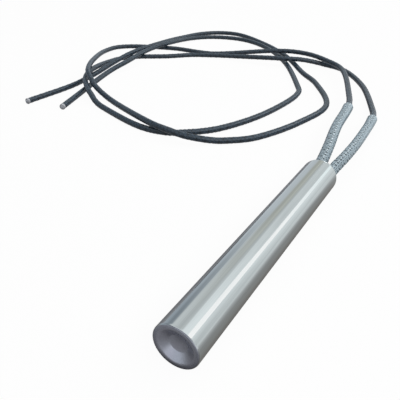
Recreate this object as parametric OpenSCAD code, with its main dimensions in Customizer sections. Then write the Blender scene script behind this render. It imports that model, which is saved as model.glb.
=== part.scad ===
// Cartridge heater: a swaged metal sheath with a wound magnesia core inside, a dished welded
// closed end, and two braided leads in braided sleeves that leave the open end.
// It lies on its side. The sheath runs along Y with the closed end towards -Y, and z = 0 is the floor.

/* [Sheath] */
// Outside diameter of the sheath
sheath_d = 12; // [10.8:0.1:16]
// Length of the sheath from the closed end to the mouth
sheath_len = 90; // [80:1:98]
// Wall thickness of the sheath
sheath_wall = 0.9; // [0.8:0.05:1]
// Outer edge radius at the closed end
tip_round = 0.5; // [0.3:0.1:0.8]
// Outer radius of the rolled-in lip at the mouth
lip_round = 1.3; // [1.1:0.05:1.4]

/* [Closed end] */
// Thickness of the welded end disc at its edge
disc_t = 3.6; // [3:0.1:6]
// Depth of the dish in the outer face of the end disc
dish_depth = 1.3; // [0.8:0.1:1.8]
// Diameter of the flat at the bottom of the dish
dish_flat_d = 4.7; // [4:0.1:6]
// Radius of the rounded weld between the sheath and the slope of the dish
weld_round = 1.6; // [1.2:0.1:1.8]

/* [Core] */
// Thickness of the compacted magnesia between the winding and the sheath
fill_t = 0.4; // [0.3:0.05:0.6]
// Unheated length between the cores and the mouth
cold_len = 22; // [20:0.5:26]
// Thickness of the insulator behind the closed end
tip_insulator_t = 3; // [2:0.1:6]
// Thickness of the insulator that caps the cores
cap_insulator_t = 3; // [2:0.1:4]

/* [Winding] */
// Diameter of the resistance wire
wire_d = 0.4; // [0.3:0.02:0.5]
// Whole turns of the winding, before the half turn that brings it to the far pin
coil_turns = 22; // [14:1:26]

/* [Leads] */
// Outside diameter of a lead
lead_d = 2.6; // [2.2:0.05:2.65]
// Diameter of the stranded conductor in a lead
conductor_d = 1.4; // [1:0.05:1.6]
// Wall thickness of a braided sleeve where it passes the mouth
sleeve_wall = 0.45; // [0.3:0.05:0.5]
// How much the first sleeve bulks up outside the mouth, on its radius
sleeve_swell_1 = 0.3; // [0:0.05:0.4]
// How much the second sleeve bulks up outside the mouth, on its radius
sleeve_swell_2 = 0.15; // [0:0.05:0.4]
// How much further a sleeve spreads at its cut end, on its radius
sleeve_flare = 0.2; // [0:0.05:0.4]
// Length of bare conductor at the cut end of a lead
bare_end = 0.8; // [0.5:0.1:3]

/* [Joints] */
// Diameter of the pins
pin_d = 1.4; // [1.2:0.05:1.6]
// Length of the pin inside the core next to the mouth
short_pin_depth = 16; // [8:0.5:18]
// Length of the crimp tubes
crimp_len = 8; // [6:0.5:9]
// Wall thickness of the crimp tubes
crimp_wall = 0.35; // [0.25:0.05:0.5]

/* [Fits] */
// Clearance on each side of what slides into the sheath, the cores and the seal
slip = 0.05; // [0.02:0.01:0.08]
// Slack between the core and the winding, on the radius
coil_slack = 0.2; // [0.15:0.01:0.24]
// Slack between a lead and its sleeve, on the radius
sleeve_slack = 0.15; // [0.1:0.01:0.2]
// Room between a sleeve and the lip of the mouth
mouth_gap = 0.15; // [0.1:0.01:0.2]
// Gap between a pin and the end of the winding welded to it
weld_gap = 0.02; // [0.01:0.01:0.05]

/* [Hidden] */
$fn = 64;
sheath_r = sheath_d / 2;
bore_r = sheath_r - sheath_wall;
mouth_r = sheath_r - lip_round;
inner_r = bore_r - slip;
tip_z = -sheath_len / 2;
mouth_z = sheath_len / 2;

// the stack inside, from the closed end to the mouth
leg_gap = wire_d + 4 * slip;
disc_top = tip_z + disc_t;
tip_insulator_z = disc_top + slip;
core_z = tip_insulator_z + tip_insulator_t + leg_gap;
core_top = mouth_z - cold_len;
core_len = (core_top - core_z - 2 * slip) / 3;
cap_z = core_top + leg_gap;
cap_top = cap_z + cap_insulator_t;
seal_z = cap_top + slip;
seal_top = mouth_z - lip_round - slip;
crimp_z = seal_z + 1;
pin_top = crimp_z + crimp_len / 2 - slip;
conductor_z = crimp_z + crimp_len / 2 + slip;
lead_z = crimp_z + crimp_len + 1;

// the two pins and the two leads stand as far apart as the mouth lets the sleeves through
lead_r = lead_d / 2;
sleeve_r = lead_r + sleeve_slack + sleeve_wall;
lead_pitch = 2 * (mouth_r - mouth_gap - sleeve_r);
pin_bore = pin_d + 2 * slip;

// the winding, inside the compacted magnesia, and the core inside the winding
fill_in_r = inner_r - fill_t;
coil_r = fill_in_r - slip - wire_d / 2;
core_d = 2 * (coil_r - wire_d / 2 - coil_slack);
pin_side_r = lead_pitch / 2 + pin_d / 2 + weld_gap;
coil_sides = 6;
coil_rings = 12;

// the crimps, the leads and the sleeves
crimp_bore = max(pin_d, conductor_d) + 2 * slip;
crimp_d = crimp_bore + 2 * crimp_wall;
lead_sides = 8;
sleeve_sides = 12;
route_steps = 2;
straight_out = 8;

// each lead starts in the seal and leaves the mouth straight
function lead_start(side) = [
    [side * lead_pitch / 2, lead_z, sheath_r],
    [side * lead_pitch / 2, mouth_z, sheath_r],
    [side * lead_pitch / 2, mouth_z + straight_out, sheath_r]
];

// then it runs through its sleeve, and on along the floor and over what it crosses
sleeve_route_1 = [[-5, 69, 6], [-8.5, 89.5, 6], [-11.5, 115.5, 5.6]];
sleeve_route_2 = [[3, 67, 5.5], [2.5, 85.5, 4.5], [0.5, 112.5, 3.3]];
floor_route_1 = [
    [-17, 135, 5.2], [-31, 171, 4.9], [-45, 185, 5.1], [-62, 194, 5], [-81, 192, 4.4],
    [-117, 177, 1.3], [-146, 175, 1.3], [-175, 163, 1.3], [-176, 144, 2.6], [-159, 113, 6.5],
    [-145, 93, 8], [-137, 86, 6.4], [-130, 82, 3.8], [-114, 75, 1.6], [-82, 58, 4.2],
    [-68, 54, 4.4], [-58, 55, 3.2], [-47, 62, 1.3], [-36, 73, 1.3], [-27, 97, 1.3],
    [-24, 124, 1.3], [-39, 152, 1.3], [-53, 168, 1.3], [-75, 196, 1.3], [-101, 218, 1.3],
    [-128, 232, 1.3], [-148, 223, 1.3], [-154, 198, 2.4], [-153, 172, 4.4], [-155, 147, 4.3],
    [-154, 127, 3.2], [-152, 105, 1.3], [-149, 84, 1.3], [-151, 55, 1.3]
];
floor_route_2 = [
    [-4, 129, 2.4], [-17, 161, 1.4], [-33, 183, 1.3], [-47, 189, 1.5], [-59, 184, 3.8],
    [-71, 178, 4.4], [-87, 176, 3.4], [-120, 171, 1.3], [-138, 157, 1.3], [-157, 143, 1.3],
    [-159, 126, 2.2], [-152, 105, 4.7], [-146, 92, 4.7], [-137, 82, 4.3], [-127, 74, 3.4],
    [-116, 68, 1.3], [-89, 58, 1.3], [-74, 57, 1.3], [-64, 62, 1.3], [-54, 73, 1.3],
    [-46, 93, 1.3], [-42, 116, 1.3], [-42, 133, 1.3], [-47, 145, 1.3], [-68, 180, 1.3],
    [-91, 206, 1.3], [-114, 219, 1.3], [-135, 217, 1.3], [-148, 204, 1.6], [-149, 175, 4.2],
    [-150, 154, 4.3], [-146, 128, 4.1], [-146, 108, 1.8], [-131, 58, 1.3]
];

// a smooth curve through the points, no lower than a lead lying on the floor
function at(points, i) =
    i < 0 ? 2 * points[0] - points[1]
    : i >= len(points) ? 2 * points[len(points) - 1] - points[len(points) - 2]
    : points[i];
function curve(a, b, c, d, t) =
    (2 * b + (c - a) * t + (2 * a - 5 * b + 4 * c - d) * t * t
    + (3 * b - a - 3 * c + d) * t * t * t) / 2;
function on_floor(p) = [p.x, p.y, max(p.z, lead_r)];
function spline(points, steps) = [
    for (i = [0 : len(points) - 2])
        for (k = [0 : steps - 1])
            on_floor(curve(at(points, i - 1), points[i], points[i + 1], at(points, i + 2), k / steps)),
    on_floor(points[len(points) - 1])
];

// a ring of points round a path, square to it
function unit(v) = v / norm(v);
function heading(path, i) = unit(path[min(i + 1, len(path) - 1)] - path[max(i - 1, 0)]);
function ring(path, i, r, sides) =
    let (t = heading(path, i), s = unit(cross([0, 0, 1], t)), u = cross(t, s))
    [for (k = [0 : sides - 1]) path[i] + r * (cos(360 * k / sides) * s + sin(360 * k / sides) * u)];

// the faces between the rings, first to last, turned outwards or inwards
function skin(rings, sides, first, outward) = [
    for (i = [0 : rings - 2])
        for (k = [0 : sides - 1])
            let (a = first + i * sides + k, b = first + i * sides + (k + 1) % sides)
            each outward
                ? [[a, a + sides, b + sides], [a, b + sides, b]]
                : [[a, b + sides, a + sides], [a, b, b + sides]]
];

// a round rod along a path
module rod(path, r, sides) {
    n = len(path);
    polyhedron(
        points = [for (i = [0 : n - 1]) each ring(path, i, r, sides)],
        faces = concat(
            [[for (k = [0 : sides - 1]) k]],
            skin(n, sides, 0, true),
            [[for (k = [sides - 1 : -1 : 0]) (n - 1) * sides + k]]
        )
    );
}

// a round tube along a path, with an outside radius for each ring
module tube(path, radii, bore, sides) {
    n = len(path);
    inner = n * sides;
    last = (n - 1) * sides;
    polyhedron(
        points = concat(
            [for (i = [0 : n - 1]) each ring(path, i, radii[i], sides)],
            [for (i = [0 : n - 1]) each ring(path, i, bore, sides)]
        ),
        faces = concat(
            skin(n, sides, 0, true),
            skin(n, sides, inner, false),
            [for (k = [0 : sides - 1]) let (m = (k + 1) % sides) each
                [[k, m, inner + m], [k, inner + m, inner + k]]],
            [for (k = [0 : sides - 1]) let (m = (k + 1) % sides) each
                [[last + k, inner + last + m, last + m], [last + k, inner + last + k, inner + last + m]]]
        )
    );
}

// the two routes as smooth curves, and the stretch of each inside its sleeve
sleeved_1 = concat(lead_start(-1), sleeve_route_1);
sleeved_2 = concat(lead_start(1), sleeve_route_2);
lead_path_1 = spline(concat(sleeved_1, floor_route_1), route_steps);
lead_path_2 = spline(concat(sleeved_2, floor_route_2), route_steps);
sleeve_rings = (len(sleeved_1) - 1) * route_steps;
function sleeve_path(path) = [for (i = [0 : sleeve_rings]) path[i]];

// a sleeve bulks up over its straight stretch outside the mouth, and spreads at its last ring
function swollen(i) = min(1, max(0, i / route_steps - 1));
function sleeve_radii(swell) = [
    for (i = [0 : sleeve_rings]) sleeve_r + swell * swollen(i) + (i == sleeve_rings ? sleeve_flare : 0)
];

// the winding: a leg in from one pin, the turns, and a leg out to the other pin
coil_span = core_top - core_z;
coil_angle = coil_turns * 360 + 180;
coil_count = coil_rings * (coil_turns + 0.5);
coil_path = concat(
    [[-pin_side_r, 0, core_top + leg_gap / 2]],
    [for (i = [0 : coil_count])
        let (a = 180 + coil_angle * i / coil_count, f = i / coil_count)
        [coil_r * cos(a), coil_r * sin(a), core_top + leg_gap / 2 - f * (coil_span + leg_gap)]],
    [[pin_side_r, 0, core_z - leg_gap / 2]]
);

// from the sheath's own axis to the lying heater
module lying() {
    translate([0, 0, sheath_r]) rotate([-90, 0, 0]) children();
}

// a round bar along the sheath's axis, at a pin or a lead
module bar(side, d, from, to) {
    translate([side * lead_pitch / 2, 0, from]) cylinder(d = d, h = to - from);
}

module half_section(r, from, to) {
    translate([0, from]) square([r, to - from]);
}

module sheath() {
    color("#b4bcc1") lying() rotate_extrude() difference() {
        union() {
            half_section(sheath_r, tip_z + tip_round, mouth_z - lip_round);
            half_section(sheath_r - tip_round, tip_z, mouth_z - lip_round);
            half_section(mouth_r, tip_z + tip_round, mouth_z);
            translate([sheath_r - tip_round, tip_z + tip_round]) circle(tip_round);
            translate([mouth_r, mouth_z - lip_round]) circle(lip_round);
        }
        half_section(bore_r, tip_z - 1, mouth_z - lip_round);
        half_section(mouth_r, tip_z - 1, mouth_z + 1);
        translate([mouth_r, mouth_z - lip_round]) circle(lip_round - sheath_wall);
    }
}

module end_disc() {
    flat_r = dish_flat_d / 2;
    flat_edge = [flat_r, tip_z + dish_depth];
    weld_r = min(weld_round, disc_t / 2);
    weld_centre = [inner_r, tip_z + weld_r];
    // the slope of the dish runs from the edge of its flat and touches the round of the weld
    reach = flat_edge - weld_centre;
    meet = atan2(reach.y, reach.x) + acos(weld_r / norm(reach));
    slope_top = weld_centre + weld_r * [cos(meet), sin(meet)];
    color("#7c7d88") lying() rotate_extrude() difference() {
        union() {
            polygon([
                [0, flat_edge.y], flat_edge, slope_top,
                [inner_r, slope_top.y], [inner_r, disc_top], [0, disc_top]
            ]);
            translate(weld_centre) circle(weld_r);
        }
        translate([inner_r, tip_z - 1]) square([weld_r + 1, disc_t + 2]);
    }
}

module tip_insulator() {
    color("#e6e2d6") lying() translate([0, 0, tip_insulator_z]) cylinder(r = inner_r, h = tip_insulator_t);
}

module core(i) {
    from = core_z + i * (core_len + slip);
    color("#efece2") lying() difference() {
        translate([0, 0, from]) cylinder(d = core_d, h = core_len);
        for (side = [-1, 1]) bar(side, pin_bore, from - 1, from + core_len + 1);
    }
}

module core_1() core(0);
module core_2() core(1);
module core_3() core(2);

module resistance_coil() {
    color("#8d8a86") lying() rod(coil_path, wire_d / 2, coil_sides);
}

module magnesia_fill() {
    color("#f1efe8") lying() translate([0, 0, core_z]) difference() {
        cylinder(r = inner_r, h = coil_span);
        translate([0, 0, -1]) cylinder(r = fill_in_r, h = coil_span + 2);
    }
}

module pin_1() {
    color("#c3c0b6") lying() bar(-1, pin_d, core_top - short_pin_depth, pin_top);
}

module pin_2() {
    color("#c3c0b6") lying() bar(1, pin_d, core_z - leg_gap + slip, pin_top);
}

module cap_insulator() {
    color("#e6e2d6") lying() difference() {
        translate([0, 0, cap_z]) cylinder(r = inner_r, h = cap_insulator_t);
        for (side = [-1, 1]) bar(side, pin_bore, cap_z - 1, cap_top + 1);
    }
}

module crimp(side) {
    color("#a9a6a0") lying() difference() {
        bar(side, crimp_d, crimp_z, crimp_z + crimp_len);
        bar(side, crimp_bore, crimp_z - 1, crimp_z + crimp_len + 1);
    }
}

module crimp_1() crimp(-1);
module crimp_2() crimp(1);

module end_seal() {
    color("#d8d2c4") lying() difference() {
        translate([0, 0, seal_z]) cylinder(r = inner_r, h = seal_top - seal_z);
        for (side = [-1, 1]) {
            bar(side, pin_bore, seal_z - 1, crimp_z + 1);
            bar(side, crimp_d + 2 * slip, crimp_z - slip, lead_z);
            bar(side, 2 * (sleeve_r + slip), lead_z - slip, seal_top + 1);
        }
    }
}

module conductor(side) {
    color("#c9c2ae") lying() bar(side, conductor_d, conductor_z, lead_z);
}

module conductor_1() conductor(-1);
module conductor_2() conductor(1);

module sleeve(path, swell) {
    color("#9aabb6") tube(sleeve_path(path), sleeve_radii(swell), sleeve_r - sleeve_wall, sleeve_sides);
}

module sleeve_1() sleeve(lead_path_1, sleeve_swell_1);
module sleeve_2() sleeve(lead_path_2, sleeve_swell_2);

module lead_1() {
    color("#2b343b") rod(lead_path_1, lead_r, lead_sides);
}

module lead_2() {
    color("#2b343b") rod(lead_path_2, lead_r, lead_sides);
}

// the bare strands at the cut end of a lead, in line with its last stretch
module conductor_end(path) {
    last = len(path) - 1;
    way = heading(path, last);
    color("#a3a9b3") translate(path[last]) rotate([0, acos(way.z), atan2(way.y, way.x)])
        cylinder(d = conductor_d, h = bare_end);
}

module conductor_end_1() conductor_end(lead_path_1);
module conductor_end_2() conductor_end(lead_path_2);

sheath();
end_disc();
tip_insulator();
core_1();
core_2();
core_3();
resistance_coil();
magnesia_fill();
pin_1();
pin_2();
cap_insulator();
crimp_1();
crimp_2();
end_seal();
conductor_1();
conductor_2();
sleeve_1();
sleeve_2();
lead_1();
lead_2();
conductor_end_1();
conductor_end_2();
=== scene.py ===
import math

import bpy
import numpy as np
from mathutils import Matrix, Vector


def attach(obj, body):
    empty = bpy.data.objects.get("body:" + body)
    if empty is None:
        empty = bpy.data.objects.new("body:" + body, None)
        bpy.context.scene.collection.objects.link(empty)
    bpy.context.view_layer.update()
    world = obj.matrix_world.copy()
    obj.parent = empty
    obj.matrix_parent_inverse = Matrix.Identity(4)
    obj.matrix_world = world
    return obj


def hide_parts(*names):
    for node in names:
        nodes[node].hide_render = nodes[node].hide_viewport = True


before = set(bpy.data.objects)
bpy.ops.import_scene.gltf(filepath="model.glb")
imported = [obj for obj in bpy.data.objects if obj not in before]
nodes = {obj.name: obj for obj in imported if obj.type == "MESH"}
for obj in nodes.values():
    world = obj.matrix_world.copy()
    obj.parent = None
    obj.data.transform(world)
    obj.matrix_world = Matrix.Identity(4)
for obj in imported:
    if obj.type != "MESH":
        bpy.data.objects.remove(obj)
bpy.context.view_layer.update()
scene = bpy.context.scene
scene.view_settings.view_transform = "Standard"
MM = 0.001
AXIS_Z = 6 * MM
TIP_Y, MOUTH_Y = -45 * MM, 45 * MM
rng = np.random.default_rng(7)

# camera, fitted to the sheath's outline in the photo
LOOK_DOWN, LOOK_LEFT = 30.7, 30.7
cam_data = bpy.data.cameras.new("camera")
cam_data.sensor_width = 36
cam_data.lens = 46.15
cam_data.clip_start, cam_data.clip_end = 0.005, 50
cam = bpy.data.objects.new("camera", cam_data)
cam.location = (0.0436, -0.1082, 0.0875)
cam.rotation_euler = (math.radians(90 - LOOK_DOWN), 0, math.radians(LOOK_LEFT))
scene.collection.objects.link(cam)
scene.camera = cam


# helpers for shader nodes
def material(name):
    mat = bpy.data.materials.new(name)
    mat.use_nodes = True
    mat.node_tree.nodes.clear()
    return mat, mat.node_tree


def node(tree, kind, inputs=None, **props):
    made = tree.nodes.new(kind)
    for key, value in props.items():
        setattr(made, key, value)
    for key, value in (inputs or {}).items():
        if isinstance(value, bpy.types.NodeSocket):
            tree.links.new(value, made.inputs[key])
        else:
            made.inputs[key].default_value = value
    return made


def maths(tree, operation, a, b=0.0, c=0.0):
    return node(tree, "ShaderNodeMath", {0: a, 1: b, 2: c}, operation=operation).outputs[0]


def ramp(tree, value, stops):
    made = node(tree, "ShaderNodeValToRGB", {"Fac": value})
    elements = made.color_ramp.elements
    elements.remove(elements[-1])
    for i, (at, colour) in enumerate(stops):
        element = elements[0] if i == 0 else elements.new(at)
        element.position = at
        element.color = (*colour, 1)
    return made.outputs["Color"]


def scaled(tree, value, lo, hi, to_lo=0.0, to_hi=1.0):
    made = node(tree, "ShaderNodeMapRange", {0: value, 1: lo, 2: hi, 3: to_lo, 4: to_hi}, clamp=True)
    return made.outputs[0]


def mixed(tree, factor, a, b):
    made = node(tree, "ShaderNodeMix", data_type="RGBA")
    for socket, value in ((made.inputs[0], factor), (made.inputs[6], a), (made.inputs[7], b)):
        if isinstance(value, bpy.types.NodeSocket):
            tree.links.new(value, socket)
        else:
            socket.default_value = (*value, 1) if isinstance(value, tuple) else value
    return made.outputs[2]


def noise(tree, vector, scale, detail=3.0, rough=0.55):
    inputs = {"Vector": vector, "Scale": scale, "Detail": detail, "Roughness": rough}
    return node(tree, "ShaderNodeTexNoise", inputs).outputs["Fac"]


def stretched(tree, vector, scale):
    return node(tree, "ShaderNodeVectorMath", {0: vector, 1: scale}, operation="MULTIPLY").outputs[0]


def joined(tree, x, y=0.0, z=0.0):
    return node(tree, "ShaderNodeCombineXYZ", {0: x, 1: y, 2: z}).outputs[0]


def bump(tree, height, strength, distance, normal=None):
    made = node(tree, "ShaderNodeBump", {"Height": height, "Strength": strength, "Distance": distance})
    if normal is not None:
        tree.links.new(normal, made.inputs["Normal"])
    return made.outputs[0]


def shader(tree, inputs):
    made = node(tree, "ShaderNodeBsdfPrincipled", inputs)
    node(tree, "ShaderNodeOutputMaterial", {"Surface": made.outputs[0]})


def place(tree):
    """The object's own coordinates, which are the frame's, in metres."""
    return node(tree, "ShaderNodeTexCoord").outputs["Object"]


def length_of(tree, x, y):
    return maths(tree, "SQRT", maths(tree, "MULTIPLY_ADD", x, x, maths(tree, "MULTIPLY", y, y)))


def from_axis(tree):
    """Places sideways from the sheath's axis, along it and up from it."""
    parts = node(tree, "ShaderNodeSeparateXYZ", {0: place(tree)})
    return parts.outputs[0], parts.outputs[1], maths(tree, "SUBTRACT", parts.outputs[2], AXIS_Z)


# materials
def make_sheath_steel():
    """Polished steel with drawing marks along it, dull where the weld at the closed end begins."""
    mat, t = material("drawn_stainless")
    x, y, z = from_axis(t)
    angle = maths(t, "ARCTAN2", z, x)
    # noise on a circle, so that no seam shows, drawn out along the sheath
    around = joined(t, maths(t, "COSINE", angle), maths(t, "SINE", angle), maths(t, "MULTIPLY", y, 6.0))
    fine = noise(t, around, scale=95.0, detail=4.0, rough=0.6)
    streak = noise(t, stretched(t, around, (1, 1, 0.5)), scale=26.0, detail=3.0, rough=0.6)
    broad = noise(t, place(t), scale=55.0, detail=2.0)
    mottle = noise(t, place(t), scale=900.0, detail=4.0)
    dull_from, dull_to = TIP_Y + 0.16 * MM, TIP_Y + 0.06 * MM
    dull = scaled(t, y, dull_from, dull_to)
    bright = mixed(t, scaled(t, streak, 0.3, 0.7), (0.58, 0.60, 0.605), (0.65, 0.668, 0.668))
    grey = mixed(t, scaled(t, mottle, 0.3, 0.7), (0.31, 0.32, 0.365), (0.365, 0.375, 0.42))
    rough = maths(t, "ADD", scaled(t, fine, 0.3, 0.7, 0.05, 0.09), scaled(t, broad, 0.35, 0.65, 0.0, 0.02))
    rough = maths(t, "ADD", rough, maths(t, "MULTIPLY", dull, 0.26))
    grain = bump(t, mottle, strength=0.06, distance=0.02 * MM)
    shader(t, {
        "Base Color": mixed(t, dull, bright, grey), "Metallic": 1.0, "Roughness": rough,
        "Normal": bump(t, fine, strength=0.05, distance=0.02 * MM, normal=grain),
    })
    return mat


def make_end_steel():
    """Dull steel, faintly violet, with turning marks round the dish, and painted shade that darkens the
    rounded rim of the weld.
    """
    mat, t = material("welded_end")
    x, _, z = from_axis(t)
    radius = length_of(t, x, z)
    mottle = noise(t, place(t), scale=700.0, detail=5.0, rough=0.6)
    broad = noise(t, place(t), scale=160.0, detail=2.0)
    inputs = {"Vector": joined(t, radius), "Scale": 1200.0, "Distortion": 0.6, "Detail": 2.0}
    turned = node(t, "ShaderNodeTexWave", inputs, wave_type="BANDS", bands_direction="X").outputs["Fac"]
    base = mixed(t, scaled(t, mottle, 0.25, 0.75), (0.47, 0.49, 0.55), (0.55, 0.57, 0.63))
    base = mixed(t, scaled(t, broad, 0.4, 0.65, 0.0, 0.5), base, (0.50, 0.49, 0.56))
    # painted shade: the rounded rim is darkened part of the way to near black
    painted_shade_from, painted_shade_to = 4.5 * MM, 5.3 * MM
    base = mixed(t, scaled(t, radius, painted_shade_from, painted_shade_to, 0.0, 0.38), base, (0.02, 0.02, 0.025))
    grain = bump(t, mottle, strength=0.05, distance=0.02 * MM)
    shader(t, {
        "Base Color": base, "Metallic": 1.0, "Roughness": scaled(t, mottle, 0.25, 0.75, 0.22, 0.28),
        "Normal": bump(t, turned, strength=0.04, distance=0.02 * MM, normal=grain),
    })
    return mat


def make_yarn(name, dark, light, rough, specular, coat):
    """Braided yarn: fibres along each yarn, a tone of its own for each, painted shade under crossings, and a
    smooth coat over them all.
    """
    mat, t = material(name)
    uv = node(t, "ShaderNodeUVMap", uv_map="yarn").outputs[0]
    # the tone holds each yarn's own tone and the painted shade where it goes under
    tone = node(t, "ShaderNodeAttribute", attribute_name="tone").outputs["Fac"]
    outward = node(t, "ShaderNodeAttribute", attribute_name="outward").outputs["Vector"]
    hair = noise(t, stretched(t, uv, (15.0, 900.0, 1.0)), scale=1.0, detail=3.0, rough=0.6)
    patch = noise(t, place(t), scale=160.0, detail=3.0)
    level = maths(t, "ADD", maths(t, "MULTIPLY", tone, 0.7), maths(t, "MULTIPLY", hair, 0.3))
    base = mixed(t, scaled(t, level, 0.2, 0.8), dark, light)
    base = mixed(t, scaled(t, patch, 0.4, 0.7, 0.0, 0.25), base, dark)
    shader(t, {
        "Base Color": base, "Roughness": scaled(t, hair, 0.3, 0.7, *rough), "Specular IOR Level": specular,
        "Normal": bump(t, hair, strength=0.35, distance=0.04 * MM), "Coat Weight": coat,
        "Coat Roughness": 0.1, "Coat IOR": 1.8, "Coat Normal": outward,
    })
    return mat


def make_grain(name, dark, light, scale, rough, strength, metallic=0.0):
    """A plain stuff with two sizes of grain."""
    mat, t = material(name)
    grain = noise(t, place(t), scale, detail=5.0, rough=0.6)
    speck = noise(t, place(t), scale * 4.3, detail=3.0)
    coarse = bump(t, grain, strength, distance=0.1 * MM)
    shader(t, {
        "Base Color": mixed(t, scaled(t, grain, 0.3, 0.7), dark, light), "Metallic": metallic,
        "Roughness": scaled(t, speck, 0.3, 0.7, rough - 0.08, rough + 0.08),
        "Normal": bump(t, speck, strength, distance=0.05 * MM, normal=coarse),
    })
    return mat


steel = make_sheath_steel()
end_steel = make_end_steel()
lead_yarn = make_yarn(
    "varnished_braid", (0.001, 0.002, 0.004), (0.047, 0.078, 0.115),
    rough=(0.35, 0.45), specular=0.1, coat=0.5,
)
sleeve_yarn = make_yarn(
    "glass_braid", (0.10, 0.15, 0.185), (0.46, 0.58, 0.65),
    rough=(0.4, 0.55), specular=0.3, coat=1.0,
)
# a grain's dark and light tone, its scale, its roughness, how strong it is, and 1 for a metal
sleeve_shade_sheet = make_grain("glass_braid_shade", (0.014, 0.022, 0.030), (0.03, 0.045, 0.056), 900.0, 0.8, 0.3)
lead_inside = make_grain("varnished_core", (0.005, 0.007, 0.009), (0.012, 0.015, 0.018), 900.0, 0.6, 0.3)
cut_fibre = make_grain("cut_glass_fibre", (0.43, 0.44, 0.47), (0.64, 0.66, 0.70), 2600.0, 0.7, 0.4)
strand_metal = make_grain("bare_strands", (0.50, 0.51, 0.54), (0.68, 0.69, 0.72), 1800.0, 0.34, 0.15, 1.0)
magnesia = make_grain("magnesia", (0.74, 0.72, 0.66), (0.88, 0.87, 0.82), 800.0, 0.85, 0.3)
nickel = make_grain("nickel", (0.58, 0.56, 0.51), (0.72, 0.70, 0.65), 700.0, 0.32, 0.1, 1.0)
heating_wire = make_grain("oxidised_wire", (0.20, 0.19, 0.18), (0.38, 0.36, 0.33), 1500.0, 0.5, 0.2, 1.0)
cement = make_grain("cement", (0.58, 0.56, 0.50), (0.80, 0.78, 0.72), 1100.0, 0.9, 0.7)

DRESS = {
    "sheath": steel, "end_seal": cement, "resistance_coil": heating_wire,
    "tip_insulator": magnesia, "core_1": magnesia, "core_2": magnesia, "core_3": magnesia,
    "magnesia_fill": magnesia, "cap_insulator": magnesia, "pin_1": nickel, "pin_2": nickel,
    "crimp_1": nickel, "crimp_2": nickel, "conductor_1": strand_metal, "conductor_2": strand_metal,
}
for name, mat in DRESS.items():
    nodes[name].data.materials.clear()
    nodes[name].data.materials.append(mat)

# the leads' sizes and routes in millimetres, as in the part's source
LEAD_R = 1.3
SLEEVE_R = 1.9
SLEEVE_SWELL = {1: 0.3, 2: 0.15}
SLEEVE_FLARE = 0.2
BARE_END = 0.8
SWELL_FROM, SWELL_TO = 45, 53
LEAD_OFF, LEAD_START, LEAD_HIGH = 2.65, 36.65, 6


def start(side):
    """The straight start of a lead, in the seal and just out of the mouth."""
    return [(side * LEAD_OFF, y, LEAD_HIGH) for y in (LEAD_START, SWELL_FROM, SWELL_TO)]


SLEEVED = {
    1: start(-1) + [(-5, 69, 6), (-8.5, 89.5, 6), (-11.5, 115.5, 5.6)],
    2: start(1) + [(3, 67, 5.5), (2.5, 85.5, 4.5), (0.5, 112.5, 3.3)],
}
ON_FLOOR = {
    1: [
        (-17, 135, 5.2), (-31, 171, 4.9), (-45, 185, 5.1), (-62, 194, 5), (-81, 192, 4.4),
        (-117, 177, 1.3), (-146, 175, 1.3), (-175, 163, 1.3), (-176, 144, 2.6), (-159, 113, 6.5),
        (-145, 93, 8), (-137, 86, 6.4), (-130, 82, 3.8), (-114, 75, 1.6), (-82, 58, 4.2),
        (-68, 54, 4.4), (-58, 55, 3.2), (-47, 62, 1.3), (-36, 73, 1.3), (-27, 97, 1.3),
        (-24, 124, 1.3), (-39, 152, 1.3), (-53, 168, 1.3), (-75, 196, 1.3), (-101, 218, 1.3),
        (-128, 232, 1.3), (-148, 223, 1.3), (-154, 198, 2.4), (-153, 172, 4.4), (-155, 147, 4.3),
        (-154, 127, 3.2), (-152, 105, 1.3), (-149, 84, 1.3), (-151, 55, 1.3),
    ],
    2: [
        (-4, 129, 2.4), (-17, 161, 1.4), (-33, 183, 1.3), (-47, 189, 1.5), (-59, 184, 3.8),
        (-71, 178, 4.4), (-87, 176, 3.4), (-120, 171, 1.3), (-138, 157, 1.3), (-157, 143, 1.3),
        (-159, 126, 2.2), (-152, 105, 4.7), (-146, 92, 4.7), (-137, 82, 4.3), (-127, 74, 3.4),
        (-116, 68, 1.3), (-89, 58, 1.3), (-74, 57, 1.3), (-64, 62, 1.3), (-54, 73, 1.3),
        (-46, 93, 1.3), (-42, 116, 1.3), (-42, 133, 1.3), (-47, 145, 1.3), (-68, 180, 1.3),
        (-91, 206, 1.3), (-114, 219, 1.3), (-135, 217, 1.3), (-148, 204, 1.6), (-149, 175, 4.2),
        (-150, 154, 4.3), (-146, 128, 4.1), (-146, 108, 1.8), (-131, 58, 1.3),
    ],
}


def curve(a, b, c, d, t):
    """The Catmull-Rom curve from b to c."""
    square = 2 * a - 5 * b + 4 * c - d
    cube = 3 * b - a - 3 * c + d
    return (2 * b + (c - a) * t + square * t**2 + cube * t**3) / 2


def spline(points, steps):
    """The smooth curve through the points, no lower than a lead on the floor."""
    p = np.array(points, float)
    p = np.vstack([2 * p[0] - p[1], p, 2 * p[-1] - p[-2]])
    t = (np.arange(steps) / steps)[:, None]
    line = [curve(*p[i - 1:i + 3], t) for i in range(1, len(p) - 2)]
    line = np.vstack(line + [p[-2:-1]])
    line[:, 2] = np.maximum(line[:, 2], LEAD_R)
    return line


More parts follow.
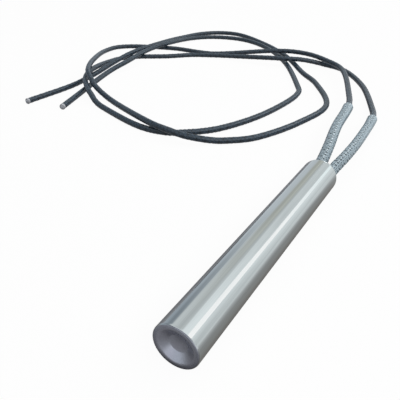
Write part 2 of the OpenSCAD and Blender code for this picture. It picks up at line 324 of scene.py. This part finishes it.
class Route:
    """A line with its length, and a frame that doesn't twist along it."""

    def __init__(self, line):
        self.p = line
        self.s = np.concatenate([[0], np.cumsum(np.linalg.norm(np.diff(line, axis=0), axis=1))])
        self.length = float(self.s[-1])
        t = np.gradient(line, self.s, axis=0)
        self.t = t / np.linalg.norm(t, axis=1)[:, None]
        u = np.zeros_like(line)
        u[0] = np.cross((0, 0, 1), self.t[0])
        u[0] /= np.linalg.norm(u[0])
        for i in range(1, len(line)):
            v = u[i - 1] - self.t[i] * (u[i - 1] @ self.t[i])
            u[i] = v / np.linalg.norm(v)
        self.u = u
        self.v = np.cross(self.t, u)

    def at(self, s, what):
        return np.stack([np.interp(s, self.s, what[:, k]) for k in range(3)], axis=-1)

    def point(self, s, angle, radius):
        """The point at that place along, angle round and distance off the line, which runs straight on past
        its ends."""
        on = np.clip(s, 0, self.length)
        centre = self.at(on, self.p) + self.at(on, self.t) * (s - on)[..., None]
        side = self.at(on, self.u) * np.cos(angle)[..., None]
        side += self.at(on, self.v) * np.sin(angle)[..., None]
        return centre + side * np.asarray(radius)[..., None]


def grid_faces(rows, columns, first, closed):
    """Quads of a grid of points, row by row; closed joins the last column to the first."""
    last = columns if closed else columns - 1
    i, j = np.meshgrid(np.arange(rows - 1), np.arange(last), indexing="ij")
    a = first + i * columns + j
    b = first + i * columns + (j + 1) % columns
    return np.stack([a, b, b + columns, a + columns], axis=-1).reshape(-1, 4)


def add_object(name, points, faces, materials):
    mesh = bpy.data.meshes.new(name)
    mesh.from_pydata(points, [], faces)
    for mat in materials:
        mesh.materials.append(mat)
    made = bpy.data.objects.new(name, mesh)
    scene.collection.objects.link(made)
    return made


class Cloth:
    """Gathers the points, quads, yarn coordinates, tones with their painted shade, and outward directions of
    a braided piece.
    """

    def __init__(self):
        self.points, self.faces, self.uv, self.tone, self.slot, self.out = [], [], [], [], [], []
        self.count = 0

    def grid(self, points, uv, tone, slot, closed=False, out=(0, 0, 1)):
        rows, columns = points.shape[:2]
        faces = grid_faces(rows, columns, self.count, closed)
        self.points.append(points.reshape(-1, 3))
        self.uv.append(uv.reshape(-1, 2))
        self.tone.append(np.broadcast_to(tone, points.shape[:2]).reshape(-1))
        self.out.append(np.broadcast_to(out, points.shape).reshape(-1, 3))
        self.faces.append(faces)
        self.slot.append(np.full(len(faces), slot))
        self.count += rows * columns

    def make(self, name, materials):
        points, faces = np.vstack(self.points) * MM, np.vstack(self.faces)
        made = add_object(name, points.tolist(), faces.tolist(), materials)
        mesh = made.data
        mesh.polygons.foreach_set("use_smooth", np.ones(len(faces), bool))
        mesh.polygons.foreach_set("material_index", np.concatenate(self.slot).astype(np.int32))
        uv = np.vstack(self.uv)[faces.reshape(-1)]
        mesh.uv_layers.new(name="yarn").data.foreach_set("uv", uv.astype(np.float32).reshape(-1))
        tone = mesh.attributes.new("tone", "FLOAT", "POINT")
        tone.data.foreach_set("value", np.concatenate(self.tone).astype(np.float32))
        outward = mesh.attributes.new("outward", "FLOAT_VECTOR", "POINT")
        outward.data.foreach_set("vector", np.vstack(self.out).astype(np.float32).reshape(-1))
        mesh.update()
        return made


def smooth(x):
    """A soft step from 0 to 1."""
    x = np.clip(x, 0, 1)
    return x * x * (3 - 2 * x)


def steady(value):
    """A size that is the same all along a line."""
    return lambda s: np.full_like(s, value)


# a yarn's middle tone, and how far from it a tone may be
PLAIN, TONE_REACH = 0.5, 0.45
# steps in the yarn coordinates, so that no two yarns have the same fibres
YARN_STEP, WAY_STEP = 1.37, 40


def add_tube(cloth, route, stations, radii, sides, slot):
    angle = np.linspace(0, 2 * np.pi, sides, endpoint=False)
    s, a = np.meshgrid(stations, angle, indexing="ij")
    r = np.broadcast_to(np.asarray(radii, float)[:, None], s.shape)
    uv = np.stack([a / (2 * np.pi), s * MM], axis=-1)
    cloth.grid(route.point(s, a, r), uv, PLAIN, slot, closed=True)


def add_braid(
    cloth, route, s0, s1, radius, per_way, slope, cover, lift, crown, across, per_cross, painted_under_shade, fray=0,
):
    """Yarns wound round a line, per_way of them each way, over and under each other by turns. radius, slope,
    which is the tangent of the braid's angle to the line, and cover, the yarns' share of it, go by the place
    along it. A yarn rises and sinks by lift, and its edges are lower than its middle by crown. It has across
    points over its width, and per_cross from one crossing to the next. depth is painted shade, how much
    darker its tone is made where it goes under, and fray is the most points that it stops short of the end."""
    s = np.linspace(s0, s1, 4000)
    twist = slope(s) / radius(s)
    turn = np.concatenate([[0], np.cumsum(np.diff(s) * (twist[1:] + twist[:-1]) / 2)])
    cross = per_way * turn / np.pi
    k = np.arange(0, cross[-1] + 1e-9, 1 / per_cross)
    place_k, turn_k = np.interp(k, cross, s), np.interp(k, cross, turn)
    lean = np.arctan(slope(place_k))
    room = 2 * np.pi * radius(place_k) * np.cos(lean) / per_way
    q = np.linspace(-1, 1, across)
    for way in (1, -1):
        for i in range(per_way):
            tone = PLAIN + rng.uniform(-1, 1) * (TONE_REACH - painted_under_shade)
            half = cover(place_k) * room * rng.uniform(0.94, 1.06) / 2
            keep = len(k) - int(rng.integers(0, fray + 1))
            height = lift * way * np.cos(np.pi * k[:keep] + np.pi * i)
            off = q[None, :] * half[:keep, None]
            along = place_k[:keep, None] - way * off * np.sin(lean[:keep, None])
            mean = radius(along)
            angle = 2 * np.pi * i / per_way + way * turn_k[:keep, None]
            angle = angle + off * np.cos(lean[:keep, None]) / mean
            r = mean + height[:, None] - crown * q[None, :] ** 2
            beside = q[None, :] / 2 + i * YARN_STEP + (way > 0) * WAY_STEP
            uv = np.stack(np.broadcast_arrays(beside, along * MM), axis=-1)
            points = route.point(along, angle, r)
            out = points - route.point(along, angle, np.zeros_like(r))
            out /= np.linalg.norm(out, axis=-1)[..., None]
            # the yarn's own tone, made darker where it goes under: painted shade
            cloth.grid(points, uv, tone + painted_under_shade * height[:, None] / lift, 0, out=out)


def finish_piece(piece, slot_name, *replaced):
    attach(piece, "root")
    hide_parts(*replaced)


# a lead's core and braid in millimetres, in and out from its solid
CORE_STEP, CORE_IN, BRAID_OUT = 1.1, 0.05, 0.06
LEAD_UNDER_SLEEVE = 3
# a sleeve's dark sheet of painted shade and its yarns in millimetres, in from its outside, and the room that
# it leaves round the lead
SHADE_SHEET_IN, YARNS_IN, LEAD_ROOM = 0.34, 0.13, 0.12
SLEEVE_START = 0.2
TUCK, TUCK_FROM, TUCK_LEN = 0.75, 1.3, 1.4
# its braid's slope and cover at the mouth, how much they grow, from where, and how far before the tip it ends
SLOPE, SLOPE_GROWS, SLOPE_FROM, SLOPE_TO = 2.3, 1.9, 26, 6
COVER, COVER_GROWS, COVER_FROM, COVER_TO = 0.57, 0.28, 24, 5


def make_lead(n, route, tip):
    """A dark core under ten varnished yarns."""
    cloth = Cloth()
    stations = np.linspace(0, route.length, int(route.length / CORE_STEP))
    add_tube(cloth, route, stations, np.full(len(stations), LEAD_R - CORE_IN), sides=12, slot=1)
    add_braid(
        cloth, route, tip - LEAD_UNDER_SLEEVE, route.length, radius=steady(LEAD_R + BRAID_OUT), per_way=5,
        slope=steady(0.95), cover=steady(0.9), lift=0.06, crown=0.13, across=4, per_cross=2, painted_under_shade=0.42,
    )
    piece = cloth.make(f"lead_{n}_braid", [lead_yarn, lead_inside])
    finish_piece(piece, "lead_braid", f"lead_{n}")
    return piece


def make_sleeve(n, route, tip, flare_len):
    """Ten glass yarns, pushed together towards the open tip, over a dark sheet of painted shade."""
    cloth = Cloth()

    def outside(s):
        y = np.interp(s, route.s, route.p[:, 1])
        bulk = SLEEVE_SWELL[n] * np.clip((y - SWELL_FROM) / (SWELL_TO - SWELL_FROM), 0, 1)
        flare = SLEEVE_FLARE * np.clip((s - tip + flare_len) / flare_len, 0, 1)
        tuck = TUCK * smooth((s - tip + TUCK_FROM) / TUCK_LEN) ** 2
        return SLEEVE_R + bulk + flare - tuck

    def slope(s):
        return SLOPE + SLOPE_GROWS * smooth((s - SLOPE_FROM) / (tip - SLOPE_TO - SLOPE_FROM))

    def cover(s):
        return COVER + COVER_GROWS * smooth((s - COVER_FROM) / (tip - COVER_TO - COVER_FROM))

    stations = np.concatenate([np.linspace(0, tip - 4, 60), np.linspace(tip - 3.6, tip - 0.1, 14)])
    inner = stations[::-1]
    # the dark sheet under the yarns is painted shade
    radii = np.concatenate([outside(stations) - SHADE_SHEET_IN, np.full(len(inner), LEAD_R + LEAD_ROOM)])
    add_tube(cloth, route, np.concatenate([stations, inner]), radii, sides=24, slot=1)
    add_braid(
        cloth, route, SLEEVE_START, tip, radius=lambda s: outside(s) - YARNS_IN, per_way=5,
        slope=slope, cover=cover, lift=0.12, crown=0.18, across=7, per_cross=6, painted_under_shade=0.4, fray=3,
    )
    piece = cloth.make(f"sleeve_{n}_braid", [sleeve_yarn, sleeve_shade_sheet])
    finish_piece(piece, "sleeve_braid", f"sleeve_{n}")
    return piece


# the strands of a cut end, the lengths in millimetres
STRAND_R, STRAND_TIP_R, STRAND_PITCH = 0.135, 0.09, 0.27
STRAND_RINGS = ((1, 6), (2, 12))
STRAND_TWIST = 0.25
FACE_SIDES, STRAND_SIDES = 48, 10


def make_cut_end(n, route):
    """Strands that stand out of a face of cut fibre."""
    cloth = Cloth()
    stop = route.length
    # the fibre face: out from under the braid, over a rounded edge and in between the strands
    rise = np.array([-0.9, -0.2, 0.1, 0.3, 0.44, 0.55, 0.62, 0.62])
    face_r = np.array([1.25, 1.40, 1.45, 1.38, 1.2, 0.95, 0.7, 0.0])
    angle = np.linspace(0, 2 * np.pi, FACE_SIDES, endpoint=False)
    s, a = np.meshgrid(stop + rise, angle, indexing="ij")
    frayed = 1 + 0.03 * np.sin(11 * a + 4 * s) * np.cos(7 * a)
    uv = np.stack([a, s * MM], axis=-1)
    cloth.grid(route.point(s, a, face_r[:, None] * frayed), uv, PLAIN, 1, closed=True)
    spots = [(0.0, 0.0)]
    for ring, count in STRAND_RINGS:
        spots += [(STRAND_PITCH * ring, 2 * np.pi * j / count + 0.3 * ring) for j in range(count)]
    end, way, side, up = route.p[-1], route.t[-1], route.u[-1], route.v[-1]
    angle = np.linspace(0, 2 * np.pi, STRAND_SIDES, endpoint=False)
    around = np.cos(angle)[None, :, None] * side + np.sin(angle)[None, :, None] * up
    for r, a in spots:
        top = BARE_END - 0.02 - rng.uniform(0, 0.16)
        z = np.array([-1.2, 0.0, top - 0.05, top, top])
        wide = np.array([STRAND_R, STRAND_R, STRAND_R, STRAND_TIP_R, 0.0])
        lean = a + STRAND_TWIST * z
        centre = end + way * z[:, None] + r * (np.cos(lean)[:, None] * side + np.sin(lean)[:, None] * up)
        tube = centre[:, None, :] + around * wide[:, None, None]
        cloth.grid(tube, np.zeros(tube.shape[:2] + (2,)), PLAIN, 0, closed=True)
    piece = cloth.make(f"lead_{n}_cut_end", [strand_metal, cut_fibre])
    finish_piece(piece, "strands", f"conductor_end_{n}")
    return piece


# the end disc's sizes in millimetres, as in the part's source
DISC_R, DISC_T = 5.1, 3.6
DISH_DEPTH, FLAT_R = 1.3, 2.35
WELD_ROUND = 1.6
# how much deeper the middle of the flat is than its edge
HOLLOW = 0.32
FLAT_RINGS, WELD_RINGS, DISC_SIDES = 10, 12, 128
CREASE = math.radians(10)


def make_end_disc():
    """The dished disc with the flat of its dish a little hollow."""
    flat = np.linspace(1 / FLAT_RINGS, 1, FLAT_RINGS)
    profile = [(FLAT_R * part, DISH_DEPTH + HOLLOW * (1 - part**2)) for part in flat]
    # the slope touches the round of the weld
    reach = np.array([FLAT_R - DISC_R, DISH_DEPTH - WELD_ROUND])
    meet = np.arctan2(reach[1], reach[0]) + np.arccos(WELD_ROUND / np.linalg.norm(reach))
    for turn in np.linspace(meet, -np.pi / 2, WELD_RINGS):
        profile.append((DISC_R + WELD_ROUND * np.cos(turn), WELD_ROUND * (1 + np.sin(turn))))
    profile.append((DISC_R, DISC_T))
    profile = np.array(profile) * MM
    rows, sides = len(profile), DISC_SIDES
    angle = np.linspace(0, 2 * np.pi, sides, endpoint=False)
    r, a = np.meshgrid(profile[:, 0], angle, indexing="ij")
    y = np.broadcast_to(TIP_Y + profile[:, 1:], r.shape)
    points = np.stack([r * np.cos(a), y, AXIS_Z + r * np.sin(a)], axis=-1).reshape(-1, 3)
    faces = grid_faces(rows, sides, 0, True)[:, ::-1].tolist()
    # the middle of the flat and the back
    faces.append(list(range(sides)))
    faces.append(list(range(rows * sides - 1, (rows - 1) * sides - 1, -1)))
    piece = add_object("end_disc_dished", points.tolist(), faces, [end_steel])
    piece.data.polygons.foreach_set("use_smooth", np.ones(len(faces), bool))
    piece.data.set_sharp_from_angle(angle=CREASE)
    piece.data.update()
    finish_piece(piece, "end_disc", "end_disc")


make_end_disc()

# leads, sleeves and cut ends
STEPS = 24
for n in (1, 2):
    route = Route(spline(SLEEVED[n] + ON_FLOOR[n], STEPS))
    last = STEPS * (len(SLEEVED[n]) - 1)
    tip = float(route.s[last])
    flare_len = tip - float(route.s[last - STEPS // 2])
    lead = make_lead(n, route, tip)
    sleeve = make_sleeve(n, route, tip, flare_len)
    cut = make_cut_end(n, route)


# floor, cards, lamps and world
def stage_mesh(name, points, faces, mat):
    made = add_object(name, points, faces, [mat])
    return made


QUAD = [(0, 1, 2, 3)]


def oblong(x0, x1, y0, y1, z):
    """The corners of a level oblong."""
    return [(x0, y0, z), (x1, y0, z), (x1, y1, z), (x0, y1, z)]


def only_reflected(obj):
    obj.visible_camera = False
    obj.visible_diffuse = False
    obj.visible_transmission = False
    obj.visible_volume_scatter = False
    obj.visible_shadow = False


def glowing(name):
    """A material that shines by itself without lighting anything, and its colour socket."""
    mat, t = material(name)
    glow = node(t, "ShaderNodeEmission", {"Strength": 1.0})
    node(t, "ShaderNodeOutputMaterial", {"Surface": glow.outputs[0]})
    mat.cycles.emission_sampling = "NONE"
    return mat, t, glow.inputs["Color"]


def seen(tree):
    """1 for what the camera sees, straight or in gloss or glass."""
    path = node(tree, "ShaderNodeLightPath")
    both = maths(tree, "MAXIMUM", path.outputs["Is Camera Ray"], path.outputs["Is Glossy Ray"])
    return maths(tree, "MAXIMUM", both, path.outputs["Is Transmission Ray"])


# a floor that shows white with a trace of shadow and sends little light back up
floor_mat, t = material("white_floor")
bounced = node(t, "ShaderNodeLightPath").outputs["Is Diffuse Ray"]
lit = node(t, "ShaderNodeBsdfDiffuse", {"Color": mixed(t, bounced, (0.9, 0.9, 0.9), (0.14, 0.14, 0.14))})
white = node(t, "ShaderNodeEmission", {"Color": (1, 1, 1, 1), "Strength": 1.0})
factor = maths(t, "MULTIPLY", seen(t), 0.95)
both = node(t, "ShaderNodeMixShader", {0: factor, 1: lit.outputs[0], 2: white.outputs[0]})
node(t, "ShaderNodeOutputMaterial", {"Surface": both.outputs[0]})
FLOOR_Z, CARD_Z = -2e-5, 1e-5
stage_mesh("floor", oblong(-6, 6, -6, 6, FLOOR_Z), QUAD, floor_mat)

# a glowing card on the floor, seen only in reflections, with painted shadow: darkest close to the heater, and
# darker on its left than on its right and behind it
RAMP_SPAN = 0.1
card_mat, t, card_colour = glowing("floor_shadow_card")
parts = node(t, "ShaderNodeSeparateXYZ", {0: place(t)})
x, y = parts.outputs[0], parts.outputs[1]
behind = maths(t, "MAXIMUM", maths(t, "SUBTRACT", y, MOUTH_Y), 0.0)
away = scaled(t, length_of(t, x, behind), 0.0, RAMP_SPAN)
right = ramp(t, away, [
    (0.04, (0.16, 0.15, 0.145)), (0.08, (0.24, 0.235, 0.225)), (0.12, (0.305, 0.31, 0.305)),
    (0.19, (0.335, 0.345, 0.345)), (0.3, (0.45, 0.47, 0.475)), (0.6, (0.66, 0.69, 0.70)),
    (0.9, (0.78, 0.83, 0.84)),
])
aside = maths(t, "ABSOLUTE", x)
left = ramp(t, scaled(t, aside, 0.0, RAMP_SPAN), [
    (0.05, (0.13, 0.13, 0.138)), (0.12, (0.18, 0.182, 0.194)), (0.34, (0.225, 0.232, 0.248)),
    (0.75, (0.305, 0.315, 0.335)),
])
rear = maths(t, "MULTIPLY", scaled(t, y, 0.025, 0.085), scaled(t, aside, 0.014, 0.03))
left = mixed(t, rear, left, (0.45, 0.465, 0.49))
ahead = scaled(t, maths(t, "SUBTRACT", TIP_Y, y), 0.0, RAMP_SPAN)
# on the left the painted shadow ahead of the closed end stays dark further out
ahead = maths(t, "MINIMUM", ahead, scaled(t, x, -0.02, -0.008, 0.1, 1.0))
front = ramp(t, ahead, [
    (0.0, (0.06, 0.06, 0.065)), (0.02, (0.20, 0.20, 0.21)), (0.05, (0.27, 0.27, 0.28)),
    (0.12, (0.40, 0.41, 0.43)), (0.25, (0.85, 0.88, 0.92)),
])
beside = mixed(t, scaled(t, x, -0.004, 0.004), left, right)
t.links.new(mixed(t, scaled(t, ahead, 0.0, 0.01), beside, front), card_colour)
only_reflected(stage_mesh("floor_shadow_card", oblong(-1, 1, -1, 3, CARD_Z), QUAD, card_mat))


# cards round the heater's axis, each row a turn from the right in degrees with the colours from front to back
def card_arch(name, radius, reach, rows):
    mat, tree, colour = glowing(name)
    tree.links.new(node(tree, "ShaderNodeAttribute", attribute_name="shade").outputs["Color"], colour)
    phi = np.radians([np.broadcast_to(row[0], len(reach)) for row in rows])
    y_at = np.broadcast_to(reach, phi.shape)
    points = np.stack([radius * np.cos(phi), y_at, AXIS_Z + radius * np.sin(phi)], axis=-1)
    made = stage_mesh(name, points.reshape(-1, 3).tolist(), grid_faces(*phi.shape, 0, False).tolist(), mat)
    shade = [(*tone, 1) for row in rows for tone in row[1]]
    layer = made.data.attributes.new("shade", "FLOAT_COLOR", "POINT")
    layer.data.foreach_set("color", np.array(shade, np.float32).reshape(-1))
    only_reflected(made)


def tinted(tint, level):
    return tuple(part * level for part in tint)


# turn, tint and brightness of what the closed end mirrors, and of what the rest of the sheath mirrors
PALE, BEIGE = (0.94, 1.005, 1.02), (0.97, 1.01, 0.94)
BLUE, DEEP_BLUE = (0.915, 1.0, 1.06), (0.87, 1.0, 1.12)
CARDS = [
    (-8, PALE, 0.58, PALE, 0.86), (0, PALE, 0.76, PALE, 0.92), (7, PALE, 0.76, PALE, 0.79),
    (16, PALE, 0.80, PALE, 0.90), (30, PALE, 0.97, PALE, 1.02), (55, PALE, 1.12, PALE, 0.85),
    (66, PALE, 1.12, PALE, 0.81), (81, PALE, 1.08, PALE, 0.86), (87, PALE, 0.74, PALE, 0.86),
    (96, PALE, 0.67, PALE, 0.63), (104, PALE, 0.67, BEIGE, 0.60), (109, PALE, 0.70, BEIGE, 0.68),
    (116, PALE, 0.78, BEIGE, 0.55), (126, PALE, 0.82, BEIGE, 0.53), (133, PALE, 0.74, PALE, 0.63),
    (141, DEEP_BLUE, 0.36, BLUE, 0.70), (152, DEEP_BLUE, 0.33, BLUE, 0.71),
    (166, DEEP_BLUE, 0.46, BLUE, 0.69), (176, DEEP_BLUE, 0.48, BLUE, 0.76),
    (185, DEEP_BLUE, 0.32, BLUE, 0.66),
]
rows = []
for turn, tint, near, far_tint, far in CARDS:
    ends = [tinted(tint, near), tinted(far_tint, far)]
    rows.append((turn, [ends[0], ends[0], ends[1], ends[1]]))
card_arch("pale_tent", 1.0, (-2.0, 0.72, 1.3, 6.0), rows)

# a card upright in front of the closed end, its tones by the height in metres
front_mat, t, front_colour = glowing("front_card")
high = node(t, "ShaderNodeSeparateXYZ", {0: place(t)}).outputs[2]
t.links.new(ramp(t, high, [
    (0.05, (0.70, 0.73, 0.80)), (0.16, (0.80, 0.86, 0.88)), (0.25, (0.17, 0.18, 0.20)),
    (0.45, (0.17, 0.18, 0.20)), (0.65, (1.0, 1.06, 1.12)),
]), front_colour)
FRONT_Y, FRONT_SIZE = -0.9, 1.2
corners = [
    (-FRONT_SIZE, FRONT_Y, 0), (FRONT_SIZE, FRONT_Y, 0),
    (FRONT_SIZE, FRONT_Y, FRONT_SIZE), (-FRONT_SIZE, FRONT_Y, FRONT_SIZE),
]
only_reflected(stage_mesh("front_card", corners, QUAD, front_mat))

# the strip light as it is mirrored, dimmer where the back of the sheath shows it
STRIP = [(1.37, 1.37, 1.37)] * 4 + [(1.12, 1.25, 1.27)] * 2
STRIP_TOP = (56, 56, 54.5, 52.5, 52, 52)
card_arch("strip_card", 0.95, (-1.0, 0.64, 0.9, 1.17, 1.75, 6.0), [(35.4, STRIP), (STRIP_TOP, STRIP)])

# a small card over the sleeves
small_mat, _, small_colour = glowing("sleeve_card")
small_colour.default_value = (2.6, 2.75, 2.8, 1)
only_reflected(stage_mesh("sleeve_card", oblong(-0.009, 0.006, 0.1, 0.17, 0.04), QUAD, small_mat))


def lamp(name, wide, high, radiance, place_at, aim):
    """A soft lamp that shows in no reflection."""
    data = bpy.data.lights.new(name, "AREA")
    data.shape = "RECTANGLE"
    data.size, data.size_y = wide, high
    data.energy = radiance * math.pi * wide * high
    made = bpy.data.objects.new(name, data)
    made.location = place_at
    made.rotation_mode = "QUATERNION"
    made.rotation_quaternion = (Vector(aim) - Vector(place_at)).to_track_quat("-Z", "Y")
    made.visible_glossy = False
    scene.collection.objects.link(made)


STRIP_TURN, STRIP_OFF, STRIP_Y = math.radians(44.5), 0.8, 0.6
strip_at = (STRIP_OFF * math.cos(STRIP_TURN), STRIP_Y, AXIS_Z + STRIP_OFF * math.sin(STRIP_TURN))
lamp("strip_light", wide=4.0, high=0.3, radiance=2.7, place_at=strip_at, aim=(0, STRIP_Y, AXIS_Z))
lamp("top_light", wide=1.6, high=1.6, radiance=0.75, place_at=(-0.1, 0.3, 1.0), aim=(-0.08, 0.1, 0))

world = bpy.data.worlds.new("studio")
world.use_nodes = True
t = world.node_tree
t.nodes.clear()
soft = node(t, "ShaderNodeBackground", {"Color": (0.97, 0.985, 1.0, 1), "Strength": 0.24})
white = node(t, "ShaderNodeBackground", {"Color": (1, 1, 1, 1), "Strength": 1.0})
both = node(t, "ShaderNodeMixShader", {0: seen(t), 1: soft.outputs[0], 2: white.outputs[0]})
node(t, "ShaderNodeOutputWorld", {"Surface": both.outputs[0]})
scene.world = world
